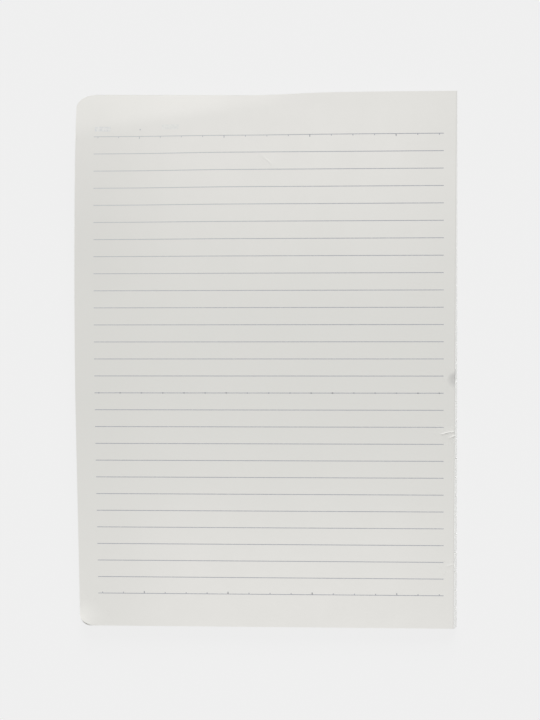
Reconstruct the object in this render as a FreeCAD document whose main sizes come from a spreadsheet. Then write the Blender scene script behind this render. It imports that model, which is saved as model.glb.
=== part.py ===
import FreeCAD
import Part
import Sketcher
import math
import os

# A ruled writing pad, glued along one long side, lying on its back. Millimetres, +Z up.
# The origin is under the middle of the page, on the surface that the pad lies on. +Y points to the head of
# the page and +X to the glued side, so the page reads the right way up when it is looked down on.

# Every size that can be set by itself: its name, its value and what it is.
SIZES = [
    ("pad_width", 179, "sheet width, from the free side to the glued side at the back of the pad"),
    ("pad_height", 252, "sheet height, from head to tail"),
    ("head_corner_radius", 8.5, "the rounded corner at the head of the free side"),
    ("tail_corner_radius", 5.2, "the rounded corner at the tail of the free side"),
    ("sheet_count", 50, "sheets in the block"),
    ("sheet_thickness", 0.1, "one sheet of writing paper"),
    ("board_thickness", 0.8, "greyboard under the last sheet"),
    ("trim_at_tail", 1.25, "how far the front sheet stops short of the last one at the tail"),
    ("saw_pitch", 9, "from one saw cut across the spine to the next, and from the tail to the first"),
    ("saw_width", 1.4, "width of the saw blade"),
    ("saw_depth", 1.2, "how deep the blade goes in past the most trimmed sheet"),
    ("front_cover", 0.6, "sheets at the front that lie over the saw cuts and were not sawn, taken together"),
    ("glue_film", 0.25, "dried glue over the spine and down the sides of each saw cut"),
    ("glue_sink", 0.6, "how far the glue has sunk into each saw cut while drying"),
    ("dent_radius", 3.6, "footprint of the dent in the front sheets, centred on the spine"),
    ("dent_depth", 0.4, "depth of that dent"),
    ("dent_from_head", 132.6, "from the head to the middle of the dent"),
    ("ink_thickness", 0.03, "print standing on the front sheet"),
    ("line_pitch", 8.03, "from one ruled line to the next"),
    ("line_width", 0.35, "width of a ruled line"),
    ("head_margin", 19.4, "from the head to the middle of the first line"),
    ("tail_margin", 15, "least space between the last line and the tail"),
    ("free_margin", 9, "from the free side to the start of the lines"),
    ("bound_margin", 6, "from the glued side to the end of the lines"),
    ("tick_pitch", 10, "from one tick to the next"),
    ("tick_inset", 2, "from the start of a line to its first tick, and at least this at its end"),
    ("tick_width", 0.4, "width of a tick"),
    ("short_tick", 0.7, "length of a plain tick, from the middle of its line"),
    ("long_tick", 1.15, "length of each fourth tick"),
    ("first_long_tick", 2, "ticks before the first long one"),
    ("long_tick_every", 4, "ticks from one long one to the next"),
    ("dotted_line", 16, "which line carries the row of dots, counted from the head"),
    ("dot_size", 0.6, "side of a dot on that line"),
    ("heading_rise", 2.5, "from the first line up to the foot of the heading marks"),
    ("heading_height", 2.3, "height of the heading marks"),
    ("first_heading_length", 7.6, "length of the mark at the start of the line"),
    ("second_heading_length", 8, "length of the mark from the fourth tick on"),
]

BLOCK = "sizes.sheet_count * sizes.sheet_thickness"
FULL = f"(sizes.board_thickness + {BLOCK})"
SAW_COUNT = "floor(sizes.pad_height / sizes.saw_pitch) - 1"
CUT_REACH = "(sizes.trim_at_tail + sizes.saw_depth)"
LINE_START = "-sizes.pad_width / 2 + sizes.free_margin"
LINE_LENGTH = "(sizes.pad_width - sizes.free_margin - sizes.bound_margin)"
LINE_RUN = "(sizes.pad_height - sizes.head_margin - sizes.tail_margin)"
LINE_COUNT = f"(floor({LINE_RUN} / sizes.line_pitch) + 1)"
FIRST_LINE = "sizes.pad_height / 2 - sizes.head_margin"
LAST_LINE = f"{FIRST_LINE} - ({LINE_COUNT} - 1) * sizes.line_pitch"
TICK_RUN = f"({LINE_LENGTH} - 2 * sizes.tick_inset)"
FIRST_TICK = f"{LINE_START} + sizes.tick_inset"
TICK_COUNT = f"floor({TICK_RUN} / sizes.tick_pitch) + 1"
LONG_SKIP = "sizes.first_long_tick * sizes.tick_pitch"
LONG_PITCH = "sizes.long_tick_every * sizes.tick_pitch"

doc = FreeCAD.newDocument("writing_pad")


def make_sheet():
    """The spreadsheet of driving sizes."""
    sheet = doc.addObject("Spreadsheet::Sheet", "sizes")
    for row, (alias, value, note) in enumerate(SIZES, start=1):
        sheet.set(f"A{row}", alias)
        sheet.set(f"B{row}", str(value))
        sheet.set(f"C{row}", note)
        sheet.setAlias(f"B{row}", alias)
    doc.recompute()
    return sheet


sheet = make_sheet()


def new_body(name):
    """An empty body of its own name."""
    body = doc.addObject("PartDesign::Body", name)
    body.Label = name
    body.AllowCompound = True
    return body


def flat_sketch(body, name, height, x="0", y="0"):
    """A sketch parallel to the page, with its own zero at x, y and height."""
    sketch = body.newObject("Sketcher::SketchObject", name)
    plane = next(f for f in body.Origin.OriginFeatures if f.Role == "XY_Plane")
    sketch.AttachmentSupport = [(plane, "")]
    sketch.MapMode = "FlatFace"
    sketch.setExpression("AttachmentOffset.Base.x", x)
    sketch.setExpression("AttachmentOffset.Base.y", y)
    sketch.setExpression("AttachmentOffset.Base.z", height)
    return sketch


def bind(sketch, name, expression, *constraint):
    """Adds a dimension to a sketch and ties it to the spreadsheet."""
    index = sketch.addConstraint(Sketcher.Constraint(*constraint))
    sketch.renameConstraint(index, name)
    sketch.setExpression(f"Constraints.{name}", expression)


def line(sketch, start, end):
    """A straight edge between two points of a sketch."""
    return sketch.addGeometry(Part.LineSegment(FreeCAD.Vector(*start, 0), FreeCAD.Vector(*end, 0)), False)


def arc(sketch, centre, radius, quarter):
    """A quarter circle that starts at the given quarter turn."""
    circle = Part.Circle(FreeCAD.Vector(*centre, 0), FreeCAD.Vector(0, 0, 1), radius)
    turn = math.pi / 2
    return sketch.addGeometry(Part.ArcOfCircle(circle, quarter * turn, (quarter + 1) * turn), False)


def page_outline(body, name, height):
    """The outline of a sheet at a height: round corners at the free side, square ones at the spine."""
    half_wide = sheet.pad_width / 2
    half_high = sheet.pad_height / 2
    head_radius = sheet.head_corner_radius
    tail_radius = sheet.tail_corner_radius
    sketch = flat_sketch(body, name, height)
    tail = line(sketch, (tail_radius - half_wide, -half_high), (half_wide, -half_high))
    spine = line(sketch, (half_wide, -half_high), (half_wide, half_high))
    head = line(sketch, (half_wide, half_high), (head_radius - half_wide, half_high))
    head_corner = arc(sketch, (head_radius - half_wide, half_high - head_radius), head_radius, 1)
    free = line(sketch, (-half_wide, half_high - head_radius), (-half_wide, tail_radius - half_high))
    tail_corner = arc(sketch, (tail_radius - half_wide, tail_radius - half_high), tail_radius, 2)
    sketch.addConstraint(Sketcher.Constraint("Coincident", tail, 2, spine, 1))
    sketch.addConstraint(Sketcher.Constraint("Coincident", spine, 2, head, 1))
    sketch.addConstraint(Sketcher.Constraint("Tangent", head, 2, head_corner, 1))
    sketch.addConstraint(Sketcher.Constraint("Tangent", head_corner, 2, free, 1))
    sketch.addConstraint(Sketcher.Constraint("Tangent", free, 2, tail_corner, 1))
    sketch.addConstraint(Sketcher.Constraint("Tangent", tail_corner, 2, tail, 1))
    sketch.addConstraint(Sketcher.Constraint("Horizontal", tail))
    sketch.addConstraint(Sketcher.Constraint("Vertical", spine))
    sketch.addConstraint(Sketcher.Constraint("Horizontal", head))
    sketch.addConstraint(Sketcher.Constraint("Vertical", free))
    bind(sketch, "at_head", "sizes.head_corner_radius", "Radius", head_corner, head_radius)
    bind(sketch, "at_tail", "sizes.tail_corner_radius", "Radius", tail_corner, tail_radius)
    bind(sketch, "to_free", "sizes.pad_width / 2", "DistanceX", free, 1, -1, 1, half_wide)
    bind(sketch, "to_spine", "sizes.pad_width / 2", "DistanceX", -1, 1, spine, 1, half_wide)
    bind(sketch, "to_tail", "sizes.pad_height / 2", "DistanceY", tail, 2, -1, 1, half_high)
    bind(sketch, "to_head", "sizes.pad_height / 2", "DistanceY", -1, 1, head, 1, half_high)
    return sketch


def rectangle(sketch, length, height):
    """A rectangle from the sketch's zero, to the right and up."""
    foot = line(sketch, (0, 0), (2, 0))
    right = line(sketch, (2, 0), (2, 1))
    top = line(sketch, (2, 1), (0, 1))
    left = line(sketch, (0, 1), (0, 0))
    sketch.addConstraint(Sketcher.Constraint("Coincident", foot, 2, right, 1))
    sketch.addConstraint(Sketcher.Constraint("Coincident", right, 2, top, 1))
    sketch.addConstraint(Sketcher.Constraint("Coincident", top, 2, left, 1))
    sketch.addConstraint(Sketcher.Constraint("Coincident", left, 2, foot, 1))
    sketch.addConstraint(Sketcher.Constraint("Coincident", foot, 1, -1, 1))
    sketch.addConstraint(Sketcher.Constraint("Horizontal", foot))
    sketch.addConstraint(Sketcher.Constraint("Horizontal", top))
    sketch.addConstraint(Sketcher.Constraint("Vertical", left))
    sketch.addConstraint(Sketcher.Constraint("Vertical", right))
    bind(sketch, "length", length, "DistanceX", foot, 1, foot, 2, 2)
    bind(sketch, "height", height, "DistanceY", right, 1, right, 2, 1)


def raised(body, name, sketch, thickness):
    """A sketch raised to a thickness."""
    pad = body.newObject("PartDesign::Pad", name)
    pad.Profile = (sketch, [""])
    pad.setExpression("Length", thickness)
    body.Tip = pad
    return pad


def row_of(body, feature, sketch, axis, backwards, pitch, count):
    """Repeats a feature along an axis of its own sketch."""
    pattern = body.newObject("PartDesign::LinearPattern", f"{feature.Name}_row")
    pattern.Originals = [feature]
    pattern.Direction = (sketch, [axis])
    pattern.Reversed = backwards
    pattern.Mode = "Spacing"
    pattern.setExpression("Offset", pitch)
    pattern.setExpression("Occurrences", count)
    body.Tip = pattern


def difference(name, base, *tools):
    """The base with every tool taken away in turn. The last cut carries the name."""
    for number, tool in enumerate(tools, start=1):
        cut_name = name if number == len(tools) else f"{name}_{number}"
        cut = doc.addObject("Part::Cut", cut_name)
        cut.Label = cut_name
        cut.Base = base
        cut.Tool = tool
        base = cut
    return base


def blade_row(name, lining):
    """A row of blades across the spine at the saw cuts, from the back of the board up to the front sheets
    that lie over them. Each is narrower than the saw by a lining on both sides."""
    body = new_body(name)
    inner = f"sizes.pad_width / 2 - {CUT_REACH}"
    first = f"-sizes.pad_height / 2 + sizes.saw_pitch - sizes.saw_width / 2 + {lining}"
    sketch = flat_sketch(body, f"{name}_slot", "0", inner, first)
    rectangle(sketch, f"{CUT_REACH} + 2 * sizes.glue_film", f"sizes.saw_width - 2 * {lining}")
    blade = raised(body, f"{name}_blade", sketch, f"{FULL} - sizes.front_cover")
    row_of(body, blade, sketch, "V_Axis", False, "sizes.saw_pitch", SAW_COUNT)
    return body


def make_dent():
    """The ball that presses a shallow dent into the front sheets at the spine."""
    ball = doc.addObject("Part::Sphere", "dent_ball")
    radius = "(sizes.dent_radius * sizes.dent_radius / sizes.dent_depth + sizes.dent_depth) / 2"
    ball.setExpression("Radius", radius)
    ball.setExpression("Placement.Base.x", "sizes.pad_width / 2 - sizes.trim_at_tail / 2")
    ball.setExpression("Placement.Base.y", "sizes.pad_height / 2 - sizes.dent_from_head")
    ball.setExpression("Placement.Base.z", f"{FULL} - sizes.dent_depth + {radius}")
    return ball


def make_trim(name, stand_off):
    """What the slanting trim takes off, for a face that stands off the spine. Its section at the tail is a
    triangle from the foot of the spine to the front sheet. It climbs on its way to the head, where it has
    left through the front sheet, so the trim runs out there."""
    section = doc.addObject("Sketcher::SketchObject", f"{name}_section")
    section.Placement = FreeCAD.Placement(FreeCAD.Vector(), FreeCAD.Rotation(FreeCAD.Vector(1, 0, 0), 90))
    section.setExpression("Placement.Base.x", f"sizes.pad_width / 2 + {stand_off}")
    section.setExpression("Placement.Base.y", "-sizes.pad_height / 2")
    rise = sheet.board_thickness + sheet.sheet_count * sheet.sheet_thickness
    spine = line(section, (0, 0), (0, rise))
    front = line(section, (0, rise), (-sheet.trim_at_tail, rise))
    slope = line(section, (-sheet.trim_at_tail, rise), (0, 0))
    section.addConstraint(Sketcher.Constraint("Coincident", spine, 2, front, 1))
    section.addConstraint(Sketcher.Constraint("Coincident", front, 2, slope, 1))
    section.addConstraint(Sketcher.Constraint("Coincident", slope, 2, spine, 1))
    section.addConstraint(Sketcher.Constraint("Coincident", spine, 1, -1, 1))
    section.addConstraint(Sketcher.Constraint("Vertical", spine))
    section.addConstraint(Sketcher.Constraint("Horizontal", front))
    bind(section, "rise", FULL, "DistanceY", spine, 1, spine, 2, rise)
    bind(section, "short_by", "sizes.trim_at_tail", "DistanceX", front, 2, front, 1, sheet.trim_at_tail)
    trim = doc.addObject("Part::Extrusion", name)
    trim.Base = section
    trim.DirMode = "Custom"
    trim.Solid = True
    trim.setExpression("Dir.x", "0")
    trim.setExpression("Dir.y", "sizes.pad_height")
    trim.setExpression("Dir.z", FULL)
    return trim


def make_page_block(trim, saw_cuts, dent):
    """The sheets, as one block, trimmed and sawn at the spine and dented there."""
    body = new_body("sheet_stack")
    outline = page_outline(body, "sheet_outline", "sizes.board_thickness")
    raised(body, "sheets", outline, BLOCK)
    return difference("page_block", body, trim, saw_cuts, dent)


def make_backing_board(trim, saw_cuts):
    """Greyboard under the sheets, trimmed and sawn with them."""
    body = new_body("board_blank")
    outline = page_outline(body, "board_outline", "0")
    raised(body, "board", outline, "sizes.board_thickness")
    return difference("backing_board", body, trim, saw_cuts)


def spine_layer(name, stand_off):
    """The strip of the pad from the floor of the saw cuts out to a face that stands off the spine, trimmed
    as the sheets are."""
    body = new_body(f"{name}_blank")
    inner = f"sizes.pad_width / 2 - {CUT_REACH}"
    sketch = flat_sketch(body, f"{name}_outline", "0", inner, "-sizes.pad_height / 2")
    rectangle(sketch, f"{CUT_REACH} + {stand_off}", "sizes.pad_height")
    raised(body, f"{name}_strip", sketch, FULL)
    return difference(name, body, make_trim(f"{name}_trim", stand_off))


def make_binding_glue(page_block, backing_board, dent):
    """The glue: a film over the spine with a tooth in every saw cut, sunk where it filled the cut."""
    spread = spine_layer("glue_spread", "sizes.glue_film")
    dried = spine_layer("glue_dried", "(sizes.glue_film - sizes.glue_sink)")
    sinks = difference("glue_sinks", blade_row("sink_cuts", "sizes.glue_film"), dried)
    return difference("binding_glue", spread, page_block, backing_board, sinks, dent)


def printed(name, left, foot, length, height):
    """A body with one printed rectangle on the front sheet, from its lower left corner."""
    body = new_body(name)
    sketch = flat_sketch(body, f"{name}_shape", FULL, left, foot)
    rectangle(sketch, length, height)
    return body, raised(body, f"{name}_ink", sketch, "sizes.ink_thickness"), sketch


def make_lines():
    """The ruled lines, from the head down."""
    foot = f"{FIRST_LINE} - sizes.line_width / 2"
    body, mark, sketch = printed("ruled_line", LINE_START, foot, LINE_LENGTH, "sizes.line_width")
    row_of(body, mark, sketch, "V_Axis", True, "sizes.line_pitch", LINE_COUNT)
    return body


def tick_row(name, left, foot, height, pitch, count):
    """A row of ticks of one length, from the one at the free side."""
    body, mark, sketch = printed(name, left, foot, "sizes.tick_width", height)
    row_of(body, mark, sketch, "H_Axis", False, pitch, count)
    return body


def make_ticks():
    """A row of ticks under the first line and one over the last, each with longer ones at even steps."""
    left = f"{FIRST_TICK} - sizes.tick_width / 2"
    long_left = f"{left} + {LONG_SKIP}"
    long_count = f"floor(({TICK_RUN} - {LONG_SKIP}) / ({LONG_PITCH})) + 1"
    short_foot = f"{FIRST_LINE} - sizes.short_tick"
    long_foot = f"{FIRST_LINE} - sizes.long_tick"
    return [
        tick_row("head_tick", left, short_foot, "sizes.short_tick", "sizes.tick_pitch", TICK_COUNT),
        tick_row("head_long_tick", long_left, long_foot, "sizes.long_tick", LONG_PITCH, long_count),
        tick_row("tail_tick", left, LAST_LINE, "sizes.short_tick", "sizes.tick_pitch", TICK_COUNT),
        tick_row("tail_long_tick", long_left, LAST_LINE, "sizes.long_tick", LONG_PITCH, long_count),
    ]


def make_dots():
    """The row of dots on one line, one at each tick."""
    foot = f"{FIRST_LINE} - (sizes.dotted_line - 1) * sizes.line_pitch - sizes.dot_size / 2"
    left = f"{FIRST_TICK} - sizes.dot_size / 2"
    body, mark, sketch = printed("line_dot", left, foot, "sizes.dot_size", "sizes.dot_size")
    row_of(body, mark, sketch, "H_Axis", False, "sizes.tick_pitch", TICK_COUNT)
    return body


def make_heading():
    """The marks over the first line: a bar at its start, a dot over the third tick and a bar from the
    fourth tick on."""
    height = "sizes.heading_height"
    foot = f"{FIRST_LINE} + sizes.heading_rise"
    dot_foot = f"{foot} + ({height} - sizes.dot_size) / 2"
    dot_left = f"{FIRST_TICK} + 2 * sizes.tick_pitch - sizes.dot_size / 2"
    second_left = f"{FIRST_TICK} + 3 * sizes.tick_pitch"
    first = printed("first_heading_bar", LINE_START, foot, "sizes.first_heading_length", height)
    dot = printed("heading_dot", dot_left, dot_foot, "sizes.dot_size", "sizes.dot_size")
    second = printed("second_heading_bar", second_left, foot, "sizes.second_heading_length", height)
    return [first[0], dot[0], second[0]]


def make_page_ruling():
    """All the print of the front sheet."""
    ruling = doc.addObject("Part::MultiFuse", "page_ruling")
    ruling.Label = "page_ruling"
    ruling.Shapes = [make_lines(), *make_ticks(), make_dots(), *make_heading()]
    return ruling


saw_cuts = blade_row("saw_cuts", "0")
dent = make_dent()
trim = make_trim("spine_trim", "0")
page_block = make_page_block(trim, saw_cuts, dent)
backing_board = make_backing_board(trim, saw_cuts)
binding_glue = make_binding_glue(page_block, backing_board, dent)
page_ruling = make_page_ruling()
doc.recompute()

for item in doc.Objects:
    if "Invalid" in item.State or "Error" in item.State:
        raise RuntimeError(f"{item.Name} failed: {item.State}")

os.makedirs("parts", exist_ok=True)
for piece in (page_block, backing_board, binding_glue, page_ruling):
    shape = piece.Shape
    if shape.isNull() or not shape.isValid():
        raise RuntimeError(f"{piece.Label} has no valid shape")
    shape.exportStep(f"parts/{piece.Label}.step")
    box = shape.optimalBoundingBox()
    extent = f"{box.XLength:.2f} x {box.YLength:.2f} x {box.ZLength:.2f}"
    print(f"{piece.Label}: {len(shape.Solids)} solids, {shape.Volume:.1f} mm3, {extent}")
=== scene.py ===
import math

import bpy
from mathutils import Matrix, Vector
from mathutils.geometry import delaunay_2d_cdt


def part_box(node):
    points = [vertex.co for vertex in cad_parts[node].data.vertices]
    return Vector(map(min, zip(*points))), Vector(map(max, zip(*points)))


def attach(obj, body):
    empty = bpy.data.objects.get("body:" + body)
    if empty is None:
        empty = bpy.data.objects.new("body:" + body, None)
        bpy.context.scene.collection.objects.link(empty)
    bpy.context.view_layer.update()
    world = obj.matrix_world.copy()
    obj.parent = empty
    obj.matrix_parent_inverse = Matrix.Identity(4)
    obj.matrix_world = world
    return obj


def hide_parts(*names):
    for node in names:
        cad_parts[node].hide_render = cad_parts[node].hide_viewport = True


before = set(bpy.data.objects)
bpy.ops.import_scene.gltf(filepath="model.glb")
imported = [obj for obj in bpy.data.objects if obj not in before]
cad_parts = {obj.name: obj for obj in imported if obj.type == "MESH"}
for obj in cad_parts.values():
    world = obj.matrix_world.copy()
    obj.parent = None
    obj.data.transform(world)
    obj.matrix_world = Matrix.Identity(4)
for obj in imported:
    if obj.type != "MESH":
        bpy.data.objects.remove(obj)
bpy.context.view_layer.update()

# BACKING BOARD
# A sheet of greyboard under the last leaf, cut and sawn through with the block, so its outline is the
# block's own. It is pulp pressed in layers, which show along its edge.

LOW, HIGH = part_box("page_block")
GLUE_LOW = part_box("binding_glue")[0]
FREE_SIDE, SPINE = LOW.x, HIGH.x
TAIL, HEAD = LOW.y, HIGH.y
PAD_HIGH = HIGH.z
HEAD_CORNER = (0.0093, 0.0062)
TAIL_CORNER = (0.0052, 0.0052)
SAW_PITCH = 0.009
SAW_WIDTH = 0.0014
SAW_FLOOR = GLUE_LOW.x
TRIM = 0.00125
EDGE_STEP = 0.003
COARSE_SPINE_STEP = 0.009
CORNER_TURN = math.radians(7.5)
BELLY = 0.0008
BELLY_MIDDLE = -0.015
BOW_START = -0.020
HEAD_BOW = 0.145
TAIL_BOW = 0.0075
TAIL_BOW_ROUNDING = 0.010
SAG = 0.0004
SAG_START = (-0.015, 0.020)
SAG_REACH = (0.050, 0.090)
HOLLOW_HEAD = 0.0012
HOLLOW_MIDDLE = -0.005
HOLLOW_REACH = (0.045, 0.025)
HOLLOW_START = 0.100
BOARD_THICKNESS = 0.0008
BOARD_GREY = (0.36, 0.345, 0.315, 1)
BOARD_PALE = (0.50, 0.485, 0.45, 1)
BOARD_DARK_FIBRE = (0.16, 0.15, 0.14, 1)
BOARD_PALE_FIBRE = (0.62, 0.61, 0.57, 1)
BOARD_LAYER_EDGE = (0.2, 0.19, 0.17, 1)
BOARD_LAYER = 0.00016


def steps(start, end, length):
    """Values from start up to but not including end, at most a length apart."""
    count = max(1, math.ceil(abs(end - start) / length - 1e-6))
    return [start + (end - start) * step / count for step in range(count)]


def spine_at(y, height):
    """Where the slanting trim leaves the spine of a leaf."""
    rise = (height / PAD_HIGH) - (y - TAIL) / (HEAD - TAIL)
    return SPINE - TRIM * max(0.0, rise)


def leaf_outline(height, spine_step, sawn, tail_corner):
    """The outline of a leaf seen from above, counter-clockwise from the tail of the spine."""
    points = []
    walls = [TAIL]
    saw = TAIL + SAW_PITCH
    while sawn and saw < HEAD - SAW_PITCH / 2:
        walls += [saw - SAW_WIDTH / 2, saw + SAW_WIDTH / 2]
        saw += SAW_PITCH
    walls.append(HEAD)
    for start, end in zip(walls[::2], walls[1::2]):
        points += [(spine_at(y, height), y) for y in steps(start, end, spine_step)]
        points.append((spine_at(end, height), end))
        if end < HEAD:
            points += [(SAW_FLOOR, end), (SAW_FLOOR, end + SAW_WIDTH)]
    points += [(x, HEAD) for x in steps(SPINE, FREE_SIDE + HEAD_CORNER[0], EDGE_STEP)[1:]]
    for turn in steps(math.pi / 2, math.pi, CORNER_TURN):
        x = FREE_SIDE + HEAD_CORNER[0] * (1 + math.cos(turn))
        points.append((x, HEAD - HEAD_CORNER[1] * (1 - math.sin(turn))))
    points += [(FREE_SIDE, y) for y in steps(HEAD - HEAD_CORNER[1], TAIL + tail_corner[1], EDGE_STEP)]
    for turn in steps(math.pi, 1.5 * math.pi, CORNER_TURN):
        x = FREE_SIDE + tail_corner[0] * (1 + math.cos(turn))
        points.append((x, TAIL + tail_corner[1] * (1 + math.sin(turn))))
    points += [(x, TAIL) for x in steps(FREE_SIDE + tail_corner[0], spine_at(TAIL, height), EDGE_STEP)]
    return points


def cut_leaf(name, outline, inner, surface, thickness):
    """A closed thin leaf: its outline and the points inside it, laid on a surface."""
    flat = [Vector(point) for point in outline + inner]
    loop = list(range(len(outline)))
    corners, _, triangles = delaunay_2d_cdt(flat, [], [loop], 1, 1e-9)[:3]
    top = []
    for a, b, c in triangles:
        turn = (corners[b] - corners[a]).cross(corners[c] - corners[a])
        top.append((a, b, c) if turn > 0 else (a, c, b))
    count = len(corners)
    sides = {}
    for face in top:
        for a, b in zip(face, face[1:] + face[:1]):
            sides[a, b] = True
    rim = [edge for edge in sides if (edge[1], edge[0]) not in sides]
    heights = [surface(point.x, point.y) for point in corners]
    points = [(p.x, p.y, z) for p, z in zip(corners, heights)]
    points += [(p.x, p.y, z - thickness) for p, z in zip(corners, heights)]
    faces = list(top)
    faces += [(a + count, c + count, b + count) for a, b, c in top]
    faces += [(a + count, b + count, b, a) for a, b in rim]
    mesh = bpy.data.meshes.new(name)
    mesh.from_pydata(points, [], faces)
    smooth = [True] * (2 * len(top)) + [False] * len(rim)
    mesh.polygons.foreach_set("use_smooth", smooth)
    rims = set(rim) | {(b, a) for a, b in rim}
    for edge in mesh.edges:
        a, b = edge.vertices
        edge.use_edge_sharp = (a % count, b % count) in rims
    mesh.update()
    return mesh


def eased(value):
    """From 0 to 1 with a level start and end."""
    held = min(1.0, max(0.0, value))
    return held * held * (3 - 2 * held)


def settle(mesh):
    """In plan the pad isn't quite square. Its free edge stands out below the middle and goes in towards the
    head, the head corner there has sagged, and the head edge is hollow."""
    for point in mesh.vertices:
        x, y = point.co.x, point.co.y
        share = max(0.0, (BOW_START - x) / (BOW_START - FREE_SIDE)) ** 2
        away = y - BELLY_MIDDLE
        if away > 0:
            inward = HEAD_BOW * away**2
        else:
            inward = TAIL_BOW * (math.hypot(away, TAIL_BOW_ROUNDING) - TAIL_BOW_ROUNDING)
        point.co.x += share * (inward - BELLY)
        sag = SAG * eased((SAG_START[0] - x) / SAG_REACH[0])
        point.co.y -= sag * eased((y - SAG_START[1]) / SAG_REACH[1])
        reach = HOLLOW_REACH[0] if x < HOLLOW_MIDDLE else HOLLOW_REACH[1]
        hollow = HOLLOW_HEAD * math.exp(-(((x - HOLLOW_MIDDLE) / reach) ** 2))
        point.co.y -= hollow * eased((y - HOLLOW_START) / (HEAD - HOLLOW_START))
    mesh.update()
    return mesh


def new_piece(name, mesh):
    """An object with the mesh, in the scene."""
    piece = bpy.data.objects.new(name, mesh)
    bpy.context.scene.collection.objects.link(piece)
    return piece


def fastened(piece, node):
    """Rides on the pad and stands for the CAD node, which it hides."""
    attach(piece, "root")
    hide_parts(node)
    return piece


def new_finish(name):
    """A material, its node tree and its shader."""
    finish = bpy.data.materials.new(name)
    finish.use_nodes = True
    return finish, finish.node_tree, finish.node_tree.nodes["Principled BSDF"]


def add(tree, kind, inputs=None, **settings):
    """A node with its settings and its inputs, each a value or the output that feeds it."""
    node = tree.nodes.new(kind)
    for name, value in settings.items():
        setattr(node, name, value)
    for name, value in (inputs or {}).items():
        if isinstance(value, bpy.types.NodeSocket):
            tree.links.new(value, node.inputs[name])
        else:
            node.inputs[name].default_value = value
    return node


def maths(tree, operation, *values):
    """The output of one Math node."""
    return add(tree, "ShaderNodeMath", dict(enumerate(values)), operation=operation).outputs[0]


def tinted(tree, factor, first, second, blend="MIX"):
    """The output of one colour mix."""
    node = add(tree, "ShaderNodeMix", data_type="RGBA", blend_type=blend)
    for socket, value in ((node.inputs[0], factor), (node.inputs[6], first), (node.inputs[7], second)):
        if isinstance(value, bpy.types.NodeSocket):
            tree.links.new(value, socket)
        else:
            socket.default_value = value
    return node.outputs[2]


def noise(tree, coordinates, scale, detail=3.0, roughness=0.55, stretch=None):
    """A noise over the piece, finer along the axes that are stretched."""
    if stretch:
        coordinates = add(
            tree, "ShaderNodeMapping", {"Vector": coordinates, "Scale": stretch}
        ).outputs[0]
    values = {"Vector": coordinates, "Scale": scale, "Detail": detail, "Roughness": roughness}
    return add(tree, "ShaderNodeTexNoise", values).outputs[0]


def between(tree, value, low, high, new_low=0.0, new_high=1.0, smooth=True):
    """A value carried from one range to another and held at its ends."""
    values = {"Value": value, "From Min": low, "From Max": high, "To Min": new_low, "To Max": new_high}
    kind = "SMOOTHSTEP" if smooth else "LINEAR"
    return add(tree, "ShaderNodeMapRange", values, interpolation_type=kind).outputs[0]


def greyboard():
    """Pressed pulp: mottled grey with pale and dark fibres, and its layers as bands up the edge."""
    finish, tree, shader = new_finish("greyboard")
    place = add(tree, "ShaderNodeTexCoord").outputs["Object"]
    height = add(tree, "ShaderNodeSeparateXYZ", {0: place}).outputs["Z"]
    mottle = noise(tree, place, 260, 5, 0.6)
    fibres = noise(tree, place, 1500, 2, 0.5, stretch=(1, 0.25, 1))
    waver = noise(tree, place, 90, 2)
    level = maths(tree, "DIVIDE", height, BOARD_LAYER)
    level = maths(tree, "ADD", level, maths(tree, "MULTIPLY", waver, 1.6))
    layers = maths(tree, "SINE", maths(tree, "MULTIPLY", level, 2 * math.pi))
    colour = tinted(tree, between(tree, mottle, 0.35, 0.65), BOARD_GREY, BOARD_PALE)
    dark_fibres = between(tree, fibres, 0.62, 0.72, 0, 0.35)
    colour = tinted(tree, dark_fibres, colour, BOARD_DARK_FIBRE)
    pale_fibres = between(tree, fibres, 0.36, 0.28, 0, 0.4)
    colour = tinted(tree, pale_fibres, colour, BOARD_PALE_FIBRE)
    colour = tinted(tree, between(tree, layers, 0.2, 1, 0, 0.22), colour, BOARD_LAYER_EDGE)
    tree.links.new(colour, shader.inputs["Base Color"])
    relief = maths(tree, "ADD", mottle, maths(tree, "MULTIPLY", fibres, 0.6))
    bump = add(tree, "ShaderNodeBump", {"Strength": 0.5, "Distance": 0.00004, "Height": relief})
    tree.links.new(bump.outputs[0], shader.inputs["Normal"])
    shader.inputs["Roughness"].default_value = 0.92
    shader.inputs["Specular IOR Level"].default_value = 0.25
    return finish


board_shape = cut_leaf(
    "greyboard",
    leaf_outline(0.0, COARSE_SPINE_STEP, True, TAIL_CORNER),
    [],
    lambda x, y: BOARD_THICKNESS,
    BOARD_THICKNESS,
)
board_shape.materials.append(greyboard())
fastened(new_piece("greyboard", settle(board_shape)), "backing_board")

# STACK OF LEAVES
# The block of cut writing paper on the board. The leaves were sawn across the spine for the glue, all but
# the front ones, and the spine was trimmed at a slant, so each leaf ends a little short of the one below.

LEAF_PITCH = 0.0001
LEAF_THICKNESS = 0.00007
STACKED_LEAVES = 42
STACK_SHUFFLE = 0.00022
STACK_SEED = 11
PAGE_WIDTH = 0.179
ON_SPINE = 0.0001
KNOCK = (0.0889, -0.0074, 0.0058)
# Reach and colour of the painted shade in the dent at the spine, darker towards the tail.
DENT_SHADE_REACH = 0.0033
# Painted shade across the middle of the page and painted light towards the head and tail.
PAPER_PAINTED_SHADE_MIDDLE = (0.757, 0.752, 0.720, 1)
PAPER_PAINTED_LIGHT_ENDS = (0.838, 0.827, 0.796, 1)
# Painted shade towards the spine side and the free side of the page.
PAPER_PAINTED_SIDE_SHADE = (0.73, 0.725, 0.692, 1)
PAPER_CLOUD = (0.70, 0.70, 0.665, 1)
PAPER_FIBRE = (0.62, 0.62, 0.59, 1)
# Painted shadow line along the slanting spine edge of the leaf.
SPINE_EDGE_PAINTED_SHADOW = (0.87, 0.87, 0.87, 1)
DENT_PAINTED_SHADE = (0.80, 0.80, 0.81, 1)
# Painted shade on the cut edges of the lower leaves, for the gaps between them.
LOWER_EDGES_PAINTED_SHADE = (0.72, 0.72, 0.71, 1)


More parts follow.
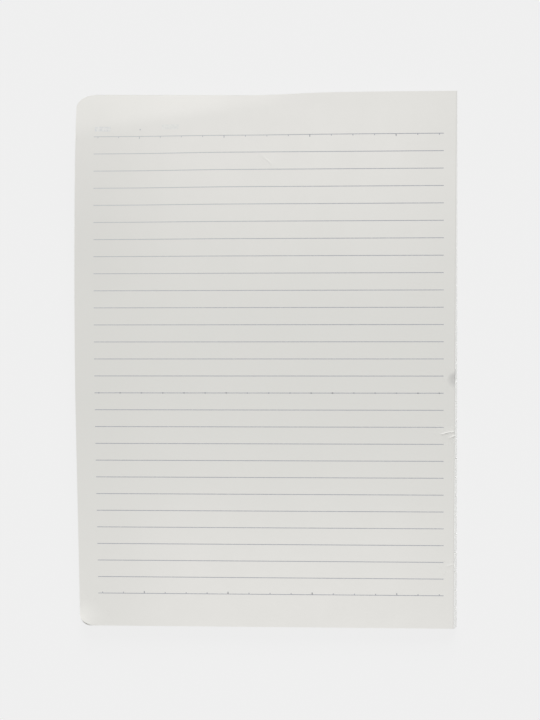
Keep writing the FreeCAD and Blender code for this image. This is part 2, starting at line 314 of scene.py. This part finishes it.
def writing_paper():
    """Uncoated wood-free paper: a warm white with soft clouds, fine fibres and a dry surface. Its colour
    carries painted shade across the middle of the page and towards both sides, painted light towards the
    head and tail, a painted shadow line along the spine edge and painted shade in the knock at the spine.
    The cut edges of the leaves lower down carry painted shade for the gaps between them, some more than
    others."""
    finish, tree, shader = new_finish("writing_paper")
    place = add(tree, "ShaderNodeTexCoord").outputs["Object"]
    split = add(tree, "ShaderNodeSeparateXYZ", {0: place})
    x, y, z = split.outputs
    clouds = noise(tree, place, 55, 3, 0.6)
    fibres = noise(tree, place, 1700, 3, 0.6, stretch=(0.35, 1, 1))
    tooth = noise(tree, place, 5200, 2, 0.5)
    # Painted shade across the middle of the page, painted light towards the head and tail.
    from_middle = maths(tree, "ABSOLUTE", maths(tree, "ADD", y, 0.004))
    painted_light_at_ends = between(tree, from_middle, 0.01, 0.125)
    colour = tinted(tree, painted_light_at_ends, PAPER_PAINTED_SHADE_MIDDLE, PAPER_PAINTED_LIGHT_ENDS)
    # Painted shade towards the spine side and the free side, where the leaf bends away from the light.
    painted_side_shade = maths(
        tree, "ADD", between(tree, x, 0.055, 0.09, 0, 0.22), between(tree, x, -0.035, -0.080, 0, 0.40)
    )
    colour = tinted(tree, painted_side_shade, colour, PAPER_PAINTED_SIDE_SHADE)
    colour = tinted(tree, between(tree, clouds, 0.3, 0.7, 0, 0.10), colour, PAPER_CLOUD)
    colour = tinted(tree, between(tree, fibres, 0.6, 0.8, 0, 0.12), colour, PAPER_FIBRE)
    # A painted shadow line just inside the slanting spine edge.
    along = maths(tree, "DIVIDE", maths(tree, "SUBTRACT", HEAD, y), HEAD - TAIL)
    edge = maths(tree, "SUBTRACT", SPINE, maths(tree, "MULTIPLY", along, TRIM))
    from_edge = maths(tree, "SUBTRACT", edge, x)
    painted_edge_shadow = between(tree, from_edge, 0.0006, 0.0001, 0, 0.85)
    colour = tinted(tree, painted_edge_shadow, colour, SPINE_EDGE_PAINTED_SHADOW, "MULTIPLY")
    # Painted shade in the dent at the spine, deepest towards the tail side of it.
    away = add(tree, "ShaderNodeVectorMath", {0: place, 1: KNOCK}, operation="DISTANCE").outputs["Value"]
    away = maths(tree, "ADD", away, maths(tree, "MULTIPLY", y, 0.15))
    painted_dent_shade = between(tree, away, DENT_SHADE_REACH, 0.0003)
    colour = tinted(tree, painted_dent_shade, colour, DENT_PAINTED_SHADE, "MULTIPLY")
    # Painted shade on the leaf edges below the top, for the gaps between leaves, varied at random from leaf
    # to leaf.
    leaf_tones = noise(tree, place, 400, 2, stretch=(0.02, 0.02, 14))
    lower_edge_shade = between(tree, z, PAD_HIGH - 0.0004, PAD_HIGH - 0.0010)
    edges = maths(tree, "MULTIPLY", lower_edge_shade, between(tree, leaf_tones, 0.35, 0.65, 0.5, 1))
    colour = tinted(tree, edges, colour, LOWER_EDGES_PAINTED_SHADE, "MULTIPLY")
    tree.links.new(colour, shader.inputs["Base Color"])
    relief = maths(tree, "ADD", maths(tree, "MULTIPLY", fibres, 0.7), tooth)
    bump = add(tree, "ShaderNodeBump", {"Strength": 0.22, "Distance": 0.00002, "Height": relief})
    tree.links.new(bump.outputs[0], shader.inputs["Normal"])
    rough = between(tree, clouds, 0.3, 0.7, 0.72, 0.82)
    tree.links.new(rough, shader.inputs["Roughness"])
    shader.inputs["Specular IOR Level"].default_value = 0.3
    return finish


def new_tree(name, sizes):
    """A geometry tree with its named inputs: their sockets, the group input and the group output."""
    tree = bpy.data.node_groups.new(name, "GeometryNodeTree")
    tree.interface.new_socket("Geometry", in_out="INPUT", socket_type="NodeSocketGeometry")
    sockets = {}
    for label, kind in sizes:
        sockets[label] = tree.interface.new_socket(label, in_out="INPUT", socket_type=f"NodeSocket{kind}")
    tree.interface.new_socket("Geometry", in_out="OUTPUT", socket_type="NodeSocketGeometry")
    source = tree.nodes.new("NodeGroupInput")
    result = tree.nodes.new("NodeGroupOutput")
    return tree, sockets, source, result


def grown(name, mesh, tree, sockets, values):
    """The plain mesh that a geometry tree makes of a mesh with these values."""
    carrier = new_piece(name, mesh)
    modifier = carrier.modifiers.new(name, "NODES")
    modifier.node_group = tree
    for label, value in values.items():
        modifier[sockets[label].identifier] = value
    shape = bpy.data.meshes.new_from_object(
        carrier.evaluated_get(bpy.context.evaluated_depsgraph_get())
    )
    carrier.modifiers.remove(modifier)
    bpy.data.objects.remove(carrier)
    shape.name = name
    return shape


def stack_tree():
    """Repeats a leaf upwards. Each is shuffled a little about the glued spine and trimmed at the slant."""
    sizes = (
        ("Leaves", "Int"), ("Pitch", "Float"), ("First", "Float"), ("Shuffle", "Float"), ("Trim", "Float"),
        ("Spine", "Float"), ("Tail", "Float"), ("Length", "Float"), ("Full", "Float"), ("Seed", "Int"),
        ("Paper", "Material"),
    )
    tree, sockets, source, result = new_tree("stack_of_leaves", sizes)
    given = source.outputs
    start = add(tree, "ShaderNodeCombineXYZ", {"Z": given["First"]}).outputs[0]
    rise = add(tree, "ShaderNodeCombineXYZ", {"Z": given["Pitch"]}).outputs[0]
    column = add(
        tree, "GeometryNodeMeshLine", {"Count": given["Leaves"], "Start Location": start, "Offset": rise}
    ).outputs[0]
    numbered = tree.nodes.new("GeometryNodeCaptureAttribute")
    numbered.capture_items.new("INT", "Leaf")
    tree.links.new(column, numbered.inputs["Geometry"])
    tree.links.new(tree.nodes.new("GeometryNodeInputIndex").outputs[0], numbered.inputs["Leaf"])
    leaves = add(
        tree,
        "GeometryNodeInstanceOnPoints",
        {"Points": numbered.outputs["Geometry"], "Instance": given["Geometry"]},
    ).outputs[0]
    leaves = add(tree, "GeometryNodeRealizeInstances", {"Geometry": leaves}).outputs[0]
    place = tree.nodes.new("GeometryNodeInputPosition").outputs[0]
    split = add(tree, "ShaderNodeSeparateXYZ", {0: place}).outputs
    from_spine = maths(tree, "SUBTRACT", given["Spine"], split["X"])
    reach = maths(tree, "DIVIDE", from_spine, PAGE_WIDTH)
    lowest = maths(tree, "MULTIPLY", given["Shuffle"], -1.0)
    shuffle = add(
        tree,
        "FunctionNodeRandomValue",
        {
            "Min": add(tree, "ShaderNodeCombineXYZ", {"X": lowest, "Y": lowest}).outputs[0],
            "Max": add(
                tree, "ShaderNodeCombineXYZ", {"X": given["Shuffle"], "Y": given["Shuffle"]}
            ).outputs[0],
            "ID": numbered.outputs["Leaf"],
            "Seed": given["Seed"],
        },
        data_type="FLOAT_VECTOR",
    ).outputs[0]
    shuffle = add(tree, "ShaderNodeVectorMath", {0: shuffle, "Scale": reach}, operation="SCALE").outputs[0]
    along = maths(tree, "DIVIDE", maths(tree, "SUBTRACT", split["Y"], given["Tail"]), given["Length"])
    slant = maths(tree, "SUBTRACT", maths(tree, "DIVIDE", split["Z"], given["Full"]), along)
    cut = maths(tree, "MULTIPLY", maths(tree, "MAXIMUM", slant, 0.0), given["Trim"])
    on_spine = maths(tree, "LESS_THAN", from_spine, ON_SPINE)
    cut = maths(tree, "MULTIPLY", maths(tree, "MULTIPLY", cut, on_spine), -1.0)
    trim = add(tree, "ShaderNodeCombineXYZ", {"X": cut}).outputs[0]
    shift = add(tree, "ShaderNodeVectorMath", {0: shuffle, 1: trim}, operation="ADD").outputs[0]
    leaves = add(tree, "GeometryNodeSetPosition", {"Geometry": leaves, "Offset": shift}).outputs[0]
    leaves = add(
        tree, "GeometryNodeSetMaterial", {"Geometry": leaves, "Material": given["Paper"]}
    ).outputs[0]
    tree.links.new(leaves, result.inputs[0])
    return tree, sockets


paper = writing_paper()
plain_leaf = cut_leaf(
    "plain_leaf",
    leaf_outline(0.0, COARSE_SPINE_STEP, True, TAIL_CORNER),
    [],
    lambda x, y: LEAF_THICKNESS,
    LEAF_THICKNESS,
)
stack_shape = grown(
    "leaf_stack",
    plain_leaf,
    *stack_tree(),
    {
        "Leaves": STACKED_LEAVES,
        "Pitch": LEAF_PITCH,
        "First": LOW.z,
        "Shuffle": STACK_SHUFFLE,
        "Trim": TRIM,
        "Spine": SPINE,
        "Tail": TAIL,
        "Length": HEAD - TAIL,
        "Full": PAD_HIGH,
        "Seed": STACK_SEED,
        "Paper": paper,
    },
)
fastened(new_piece("leaf_stack", settle(stack_shape)), "page_block")

# LOOSE LEAVES AND FRONT LEAF
# The uppermost leaves, held by the glue alone. They have taken up a little air at the head of the free
# side. The front one is dented and creased at the spine, and its tail corner is worn away and turned up.

LOOSE_LEAVES = 8
FRONT_COVER = 0.0006
SWELL = 0.0013
SWELL_REACH = 0.115
SWELL_TAILING = 0.080
SWELL_SLANT = 0.018
SWELL_INSET = 0.0005
SWELL_DROP = 0.9
SWELL_ROUNDING = 0.25
SWELL_SPREAD = 1.4
WORN_CORNER = (0.0080, 0.0054)
CORNER_LIFT = 0.0014
CORNER_REACH = 0.013
DENT_RADIUS = 0.0036
DENT_DEPTH = 0.00009
CREASES = (
    ((0.0829, -0.0336), (0.0847, -0.0330), (0.0864, -0.0326), (0.0887, -0.0326)),
    ((0.0875, -0.0349), (0.0887, -0.0341)),
    ((0.0861, -0.0959), (0.0877, -0.0954)),
    ((0.0006, 0.0955), (0.0019, 0.0946), (0.0034, 0.0932)),
)
CREASE_HEIGHTS = (0.00014, 0.00020, 0.00006, 0.00007)
CREASE_WIDTH = 0.00030
CREASE_NEAR = 0.012
CREASE_STEP = 0.00035
CREASE_ROWS = (-0.0007, -0.00042, -0.0002, 0, 0.0002, 0.00042, 0.0007)
DENT_RINGS = 6
LOOSE_SPINE_STEP = 0.0025
LOOSE_GRID = 0.006
SAW_CLEARANCE = 0.001
FRONT_SPINE_STEP = 0.001
FRONT_GRID = 0.0025
GRID_EDGE = 0.45
CROWD_GAP = 0.0009


def swell(x, y):
    """The hollow that has come under the head of the free side, with its crest along a slant."""
    along = min(1.0, max(0.0, (x - FREE_SIDE) / SWELL_REACH))
    crest = HEAD - SWELL_SLANT * (1 - along) - SWELL_INSET
    height = SWELL * (1 - eased(along))
    if y > crest:
        share = (y - crest) / (HEAD - crest)
        drop = SWELL_DROP * (1 + SWELL_ROUNDING) * share * share / (share + SWELL_ROUNDING)
        return height * (1 - drop)
    return height * (1 - eased((crest - y) / SWELL_TAILING))


def corner_lift(x, y):
    """The turned-up tail corner of the front leaf."""
    away = math.dist((x, y), (FREE_SIDE, TAIL))
    return CORNER_LIFT * max(0.0, 1 - away / CORNER_REACH) ** 2


def dent(x, y):
    """The knock in the spine."""
    away = math.dist((x, y), KNOCK[:2]) / DENT_RADIUS
    return DENT_DEPTH * max(0.0, 1 - away * away) ** 2


def distance_to(point, start, end):
    """From a point to the straight piece between two others."""
    start, end, point = Vector(start), Vector(end), Vector(point)
    run = end - start
    share = min(1.0, max(0.0, (point - start).dot(run) / run.length_squared))
    return (point - start - run * share).length


def crease(x, y):
    """The sharp folds."""
    height = 0.0
    for path, most in zip(CREASES, CREASE_HEIGHTS):
        if abs(x - path[0][0]) > CREASE_NEAR or abs(y - path[0][1]) > CREASE_NEAR:
            continue
        away = min(distance_to((x, y), start, end) for start, end in zip(path, path[1:]))
        height = max(height, most * math.exp(-((away / CREASE_WIDTH) ** 2)))
    return height


def loose_surface(level):
    """The upper face of a loose leaf, level 1 being the front one."""
    rest = PAD_HIGH - (LOOSE_LEAVES * (1 - level)) * LEAF_PITCH

    def surface(x, y):
        height = rest + level**SWELL_SPREAD * swell(x, y) - level * dent(x, y)
        return height + corner_lift(x, y) + crease(x, y) if level == 1 else height

    return surface


def inside(x, y, edge):
    """Whether a point is inside the leaf by more than an edge."""
    if not FREE_SIDE + edge < x < spine_at(y, PAD_HIGH) - edge or not TAIL + edge < y < HEAD - edge:
        return False
    for (wide, long), corner_y, turn in ((HEAD_CORNER, HEAD, 1), (WORN_CORNER, TAIL, -1)):
        across = (FREE_SIDE + wide - x) / (wide - edge)
        along = turn * (y - corner_y + turn * long) / (long - edge)
        if across > 0 and along > 0 and math.hypot(across, along) > 1:
            return False
    return True


def grid(step, spine_limit):
    """Points over the leaf in offset rows, up to a limit at the spine."""
    points = []
    for row, y in enumerate(steps(TAIL, HEAD, step)):
        for x in steps(FREE_SIDE, SPINE, step):
            x += step / 2 * (row % 2)
            if x < spine_limit and inside(x, y, step * GRID_EDGE):
                points.append((x, y))
    return points


def crowd_dent():
    """Rings of points round the dent."""
    points = []
    for ring in range(1, DENT_RINGS + 1):
        radius = DENT_RADIUS * ring / DENT_RINGS
        for turn in steps(0, 2 * math.pi, math.radians(60 / ring)):
            x = KNOCK[0] + radius * math.cos(turn)
            y = KNOCK[1] + radius * math.sin(turn)
            if inside(x, y, 0.0003):
                points.append((x, y))
    return points


def crowd_creases():
    """Rows of points along each crease."""
    points = []
    for path in CREASES:
        for start, end in zip(path, path[1:]):
            start, end = Vector(start), Vector(end)
            across = (end - start).orthogonal().normalized()
            for share in steps(-0.1, 1.1, CREASE_STEP / (end - start).length):
                for offset in CREASE_ROWS:
                    x, y = start.lerp(end, share) + across * offset
                    if inside(x, y, 0.0001):
                        points.append((x, y))
    return points


def thinned(points, crowd, gap):
    """The points that aren't near one of a crowd."""
    cells = {(round(x / gap), round(y / gap)) for x, y in crowd}
    kept = []
    for x, y in points:
        column, row = round(x / gap), round(y / gap)
        near = [(column + i, row + j) in cells for i in (-1, 0, 1) for j in (-1, 0, 1)]
        if not any(near):
            kept.append((x, y))
    return kept


for leaf in range(1, LOOSE_LEAVES):
    level = leaf / LOOSE_LEAVES
    surface = loose_surface(level)
    height = surface(SPINE, HEAD)
    sawn = height < PAD_HIGH - FRONT_COVER + LEAF_THICKNESS / 2
    outline = leaf_outline(height, LOOSE_SPINE_STEP, sawn, TAIL_CORNER)
    inner = grid(LOOSE_GRID, SAW_FLOOR - SAW_CLEARANCE)
    shape = cut_leaf(f"loose_leaf_{leaf}", outline, inner, surface, LEAF_THICKNESS)
    shape.materials.append(paper)
    fastened(new_piece(f"loose_leaf_{leaf}", settle(shape)), "page_block")

crowd = crowd_dent() + crowd_creases()
front_shape = cut_leaf(
    "front_leaf",
    leaf_outline(PAD_HIGH, FRONT_SPINE_STEP, False, WORN_CORNER),
    thinned(grid(FRONT_GRID, SPINE), crowd, CROWD_GAP) + crowd,
    loose_surface(1),
    LEAF_THICKNESS,
)
front_shape.materials.append(paper)
front_leaf = fastened(new_piece("front_leaf", front_shape), "page_block")

# BINDING GLUE
# White padding glue brushed over the sawn spine. It fills each cut with a tooth that has sunk as it dried,
# and the leaf edges show faintly through the film. The CAD solid has its shape and stays.

GLUE_WHITE = (0.88, 0.88, 0.86, 1)
GLUE_PIT = (0.85, 0.85, 0.83, 1)
GLUE_OVER_EDGES = (0.66, 0.66, 0.63, 1)


def padding_glue():
    """A dried white film: a soft gloss, brush marks along the spine and the leaf edges showing through."""
    finish, tree, shader = new_finish("padding_glue")
    place = add(tree, "ShaderNodeTexCoord").outputs["Object"]
    height = add(tree, "ShaderNodeSeparateXYZ", {0: place}).outputs["Z"]
    brush = noise(tree, place, 700, 3, 0.6, stretch=(1, 0.12, 1))
    pits = noise(tree, place, 900, 2)
    waver = noise(tree, place, 60, 2)
    level = maths(tree, "DIVIDE", height, LEAF_PITCH)
    level = maths(tree, "ADD", level, maths(tree, "MULTIPLY", waver, 3.0))
    edges = maths(tree, "SINE", maths(tree, "MULTIPLY", level, 2 * math.pi))
    colour = tinted(tree, between(tree, pits, 0.35, 0.7), GLUE_WHITE, GLUE_PIT)
    colour = tinted(tree, between(tree, edges, 0, 1, 0, 0.06), colour, GLUE_OVER_EDGES)
    tree.links.new(colour, shader.inputs["Base Color"])
    relief = maths(tree, "ADD", brush, maths(tree, "MULTIPLY", edges, 0.08))
    bump = add(tree, "ShaderNodeBump", {"Strength": 0.2, "Distance": 0.00006, "Height": relief})
    tree.links.new(bump.outputs[0], shader.inputs["Normal"])
    tree.links.new(between(tree, brush, 0.3, 0.7, 0.48, 0.60), shader.inputs["Roughness"])
    shader.inputs["Specular IOR Level"].default_value = 0.35
    return finish


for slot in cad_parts["binding_glue"].material_slots:
    slot.material = padding_glue()

# RULING
# Offset print on the front leaf: feint lines, ticks under the first and over the last, dots on a line
# between them and the plain marks of the heading. It lies on the leaf and follows its swelling, and the
# lines across the middle of the page stand a little low.

LINES = 28
LINE_PITCH = 0.00803
LINE_WIDTH = 0.00032
LINE_PARTS = 83
LINE_START = FREE_SIDE + 0.009
LINE_END = SPINE - 0.006
FIRST_LINE = HEAD - 0.0194
LAST_LINE = FIRST_LINE - (LINES - 1) * LINE_PITCH
DOTTED_LINE = FIRST_LINE - 15 * LINE_PITCH
INK_THICKNESS = 0.00001
TICK_PITCH = 0.010
TICK_INSET = 0.002
TICK_WIDTH = 0.0004
TICKS = 17
LONG_TICKS = 4
TICKS_TO_LONG = 4.0
FIRST_LONG_TICK = 2
SHORT_TICK = 0.0007
LONG_TICK = 0.00115
DOT = 0.0006
PRINT_DROP = 0.0004
PRINT_DROP_MIDDLE = FIRST_LINE - 16 * LINE_PITCH
PRINT_DROP_REACH = 11.5 * LINE_PITCH
HEADING_MARKS = (
    (-0.0801, 0.0077, 0.0023, 0.1101),
    (-0.0584, 0.0006, 0.0006, 0.1098),
    (-0.0478, 0.0080, 0.0023, 0.1110),
)
LINE_INK = (0.40, 0.41, 0.45, 1)
LINE_INK_AT_HEAD = (0.58, 0.59, 0.60, 1)
BROKEN_INK = (0.66, 0.67, 0.66, 1)
HEADING_INK = (0.71, 0.715, 0.71, 1)
HEADING_GAP = (0.81, 0.81, 0.785, 1)
HEADING_FADED = (0.835, 0.834, 0.796, 1)


def line_ink():
    """Thin blue-grey printing ink, broken a little by the tooth of the paper and thinner at the head of
    the free side."""
    finish, tree, shader = new_finish("line_ink")
    place = add(tree, "ShaderNodeTexCoord").outputs["Object"]
    grain = noise(tree, place, 1400, 2)
    corner = add(
        tree, "ShaderNodeVectorMath", {0: place, 1: (FREE_SIDE, HEAD, PAD_HIGH)}, operation="DISTANCE"
    ).outputs["Value"]
    colour = tinted(tree, between(tree, corner, 0.02, 0.17), LINE_INK_AT_HEAD, LINE_INK)
    colour = tinted(tree, between(tree, grain, 0.5, 0.7, 0, 0.4), colour, BROKEN_INK)
    tree.links.new(colour, shader.inputs["Base Color"])
    shader.inputs["Roughness"].default_value = 0.7
    shader.inputs["Specular IOR Level"].default_value = 0.3
    return finish


def heading_ink():
    """The same ink, printed pale and broken, the second mark paler than the first."""
    finish, tree, shader = new_finish("heading_ink")
    place = add(tree, "ShaderNodeTexCoord").outputs["Object"]
    x = add(tree, "ShaderNodeSeparateXYZ", {0: place}).outputs["X"]
    grain = noise(tree, place, 1100, 3)
    colour = tinted(tree, between(tree, grain, 0.35, 0.65), HEADING_INK, HEADING_GAP)
    colour = tinted(tree, between(tree, x, -0.070, -0.050, 0, 0.5), colour, HEADING_FADED)
    tree.links.new(colour, shader.inputs["Base Color"])
    shader.inputs["Roughness"].default_value = 0.75
    shader.inputs["Specular IOR Level"].default_value = 0.3
    return finish


def ruling_tree():
    """Rows of ink, each a flat strip repeated at a step, laid on the leaf by rays from above."""
    sizes = (
        ("Leaf", "Object"), ("Ink", "Material"), ("Pale Ink", "Material"), ("Line Pitch", "Float"),
        ("Line Width", "Float"), ("Thickness", "Float"), ("Tick Pitch", "Float"),
    )
    tree, sockets, source, result = new_tree("ruling", sizes)
    given = source.outputs

    def row(length, width, parts, count, start, step, ink):
        """One row of equal strips: the middle of the first, and the step to the next."""
        sides = {"X": length, "Y": width, "Z": given["Thickness"]}
        size = add(tree, "ShaderNodeCombineXYZ", sides).outputs[0]
        cuts = {"Size": size, "Vertices X": parts, "Vertices Y": 2, "Vertices Z": 2}
        strip = add(tree, "GeometryNodeMeshCube", cuts).outputs[0]
        places = add(
            tree, "GeometryNodeMeshLine", {"Count": count, "Start Location": start, "Offset": step}
        ).outputs[0]
        strips = add(tree, "GeometryNodeInstanceOnPoints", {"Points": places, "Instance": strip}).outputs[0]
        strips = add(tree, "GeometryNodeRealizeInstances", {"Geometry": strips}).outputs[0]
        return add(tree, "GeometryNodeSetMaterial", {"Geometry": strips, "Material": given[ink]}).outputs[0]

    line_middle = (LINE_START + LINE_END) / 2
    line_length = LINE_END - LINE_START
    first_tick = LINE_START + TICK_INSET
    down = add(
        tree, "ShaderNodeCombineXYZ", {"Y": maths(tree, "MULTIPLY", given["Line Pitch"], -1.0)}
    ).outputs[0]
    across = add(tree, "ShaderNodeCombineXYZ", {"X": given["Tick Pitch"]}).outputs[0]
    far_across = add(
        tree, "ShaderNodeCombineXYZ", {"X": maths(tree, "MULTIPLY", given["Tick Pitch"], TICKS_TO_LONG)}
    ).outputs[0]
    first_line = (line_middle, FIRST_LINE, 0)
    rows = [row(line_length, given["Line Width"], LINE_PARTS, LINES, first_line, down, "Ink")]
    for line, turn in ((FIRST_LINE, -1), (LAST_LINE, 1)):
        foot = turn * LINE_WIDTH / 2
        for tick, count, skip, step in (
            (SHORT_TICK, TICKS, 0, across), (LONG_TICK, LONG_TICKS, FIRST_LONG_TICK, far_across)
        ):
            length = tick - LINE_WIDTH / 2
            middle = (first_tick + skip * TICK_PITCH, line + foot + turn * length / 2, 0)
            rows.append(row(TICK_WIDTH, length, 2, count, middle, step, "Ink"))
    rows.append(row(DOT, DOT, 2, TICKS, (first_tick, DOTTED_LINE, 0), across, "Ink"))
    for start, length, height, middle in HEADING_MARKS:
        ink = "Ink" if height == DOT else "Pale Ink"
        rows.append(row(length, height, 6, 1, (start + length / 2, middle, 0), across, ink))
    print_flat = tree.nodes.new("GeometryNodeJoinGeometry")
    for made in reversed(rows):
        tree.links.new(made, print_flat.inputs[0])
    place = tree.nodes.new("GeometryNodeInputPosition").outputs[0]
    split = add(tree, "ShaderNodeSeparateXYZ", {0: place}).outputs
    above = add(tree, "ShaderNodeCombineXYZ", {"X": split["X"], "Y": split["Y"], "Z": 0.05}).outputs[0]
    leaf = add(tree, "GeometryNodeObjectInfo", {"Object": given["Leaf"]}).outputs["Geometry"]
    hit = add(
        tree,
        "GeometryNodeRaycast",
        {"Target Geometry": leaf, "Source Position": above, "Ray Direction": (0, 0, -1), "Ray Length": 0.1},
    ).outputs["Hit Position"]
    on_leaf = add(tree, "ShaderNodeSeparateXYZ", {0: hit}).outputs["Z"]
    lift = maths(tree, "ADD", maths(tree, "ADD", on_leaf, split["Z"]), given["Thickness"])
    landed = add(tree, "ShaderNodeCombineXYZ", {"X": split["X"], "Y": split["Y"], "Z": lift}).outputs[0]
    print_laid = add(
        tree, "GeometryNodeSetPosition", {"Geometry": print_flat.outputs[0], "Position": landed}
    ).outputs[0]
    tree.links.new(print_laid, result.inputs[0])
    return tree, sockets


def lowered(mesh):
    """The lines across the middle of the page stand a little lower than even steps would put them."""
    for point in mesh.vertices:
        away = (point.co.y - PRINT_DROP_MIDDLE) / PRINT_DROP_REACH
        point.co.y -= PRINT_DROP * max(0.0, 1 - away * away)
    return mesh


ruling_shape = grown(
    "ruling",
    bpy.data.meshes.new("ruling_start"),
    *ruling_tree(),
    {
        "Leaf": front_leaf,
        "Ink": line_ink(),
        "Pale Ink": heading_ink(),
        "Line Pitch": LINE_PITCH,
        "Line Width": LINE_WIDTH,
        "Thickness": INK_THICKNESS,
        "Tick Pitch": TICK_PITCH,
    },
)
settle(front_leaf.data)
fastened(new_piece("ruling", settle(lowered(ruling_shape))), "page_ruling")

# FLOOR, LIGHT AND CAMERA
# A plain pale floor under an open sky of soft light, with one broad light low over the head of the page,
# and a camera nearly straight above.

FLOOR_SIZE = 8.0
FLOOR_DROP = 0.0002
FLOOR_PALE = (0.869, 0.869, 0.869, 1)
FLOOR_MATT = (0.9, 0.9, 0.9, 1)
FLOOR_MATT_SHARE = 0.05
SKY_LOW = (0.86, 0.86, 0.86, 1)
SKY_TOP = (0.40, 0.40, 0.40, 1)
KEY_FROM = (0.07, 0.99)
KEY_RISE = math.radians(27)
KEY_STRENGTH = 3.2
KEY_SOFTNESS = math.radians(35)
SENSOR_WIDTH = 27.0
LENS = 106.48
CAMERA = Vector((0.0773, 0.0913, 0.9986))
AIM = Vector((0.00224, 0.00133, 0.0058))


def floor_shape():
    """One large flat face."""
    half = FLOOR_SIZE / 2
    mesh = bpy.data.meshes.new("floor")
    corners = [(-half, -half), (half, -half), (half, half), (-half, half)]
    mesh.from_pydata([(x, y, -FLOOR_DROP) for x, y in corners], [], [(0, 1, 2, 3)])
    return mesh


def floor_finish():
    """A pale surface lit mostly from within, so that shadows on it stay faint."""
    finish, tree, shader = new_finish("pale_floor")
    tree.nodes.remove(shader)
    glow = add(tree, "ShaderNodeEmission", {"Color": FLOOR_PALE})
    matt = add(tree, "ShaderNodeBsdfDiffuse", {"Color": FLOOR_MATT})
    shares = {0: FLOOR_MATT_SHARE, 1: glow.outputs[0], 2: matt.outputs[0]}
    both = add(tree, "ShaderNodeMixShader", shares)
    tree.links.new(both.outputs[0], tree.nodes["Material Output"].inputs["Surface"])
    return finish


floor = new_piece("floor", floor_shape())
floor.data.materials.append(floor_finish())

world = bpy.data.worlds.new("soft_room")
world.use_nodes = True
bpy.context.scene.world = world
sky = world.node_tree
toward = add(sky, "ShaderNodeTexCoord").outputs["Generated"]
rise = add(sky, "ShaderNodeSeparateXYZ", {0: toward}).outputs["Z"]
tone = tinted(sky, between(sky, rise, 0.05, 0.6), SKY_LOW, SKY_TOP)
sky.links.new(tone, sky.nodes["Background"].inputs["Color"])

key_data = bpy.data.lights.new("key", "SUN")
key_data.energy = KEY_STRENGTH
key_data.angle = KEY_SOFTNESS
key = new_piece("key", key_data)
key_way = Vector((*Vector(KEY_FROM).normalized() * math.cos(KEY_RISE), math.sin(KEY_RISE)))
key.rotation_euler = key_way.to_track_quat("Z", "Y").to_euler()

camera_data = bpy.data.cameras.new("camera")
camera_data.sensor_fit = "HORIZONTAL"
camera_data.sensor_width = SENSOR_WIDTH
camera_data.lens = LENS
camera = new_piece("camera", camera_data)
back = (CAMERA - AIM).normalized()
up = back.cross(Vector((1, 0, 0))).normalized()
right = up.cross(back)
turned = Matrix((right, up, back)).transposed().to_4x4()
camera.matrix_world = Matrix.Translation(CAMERA) @ turned
bpy.context.scene.camera = camera
bpy.context.scene.view_settings.view_transform = "Standard"
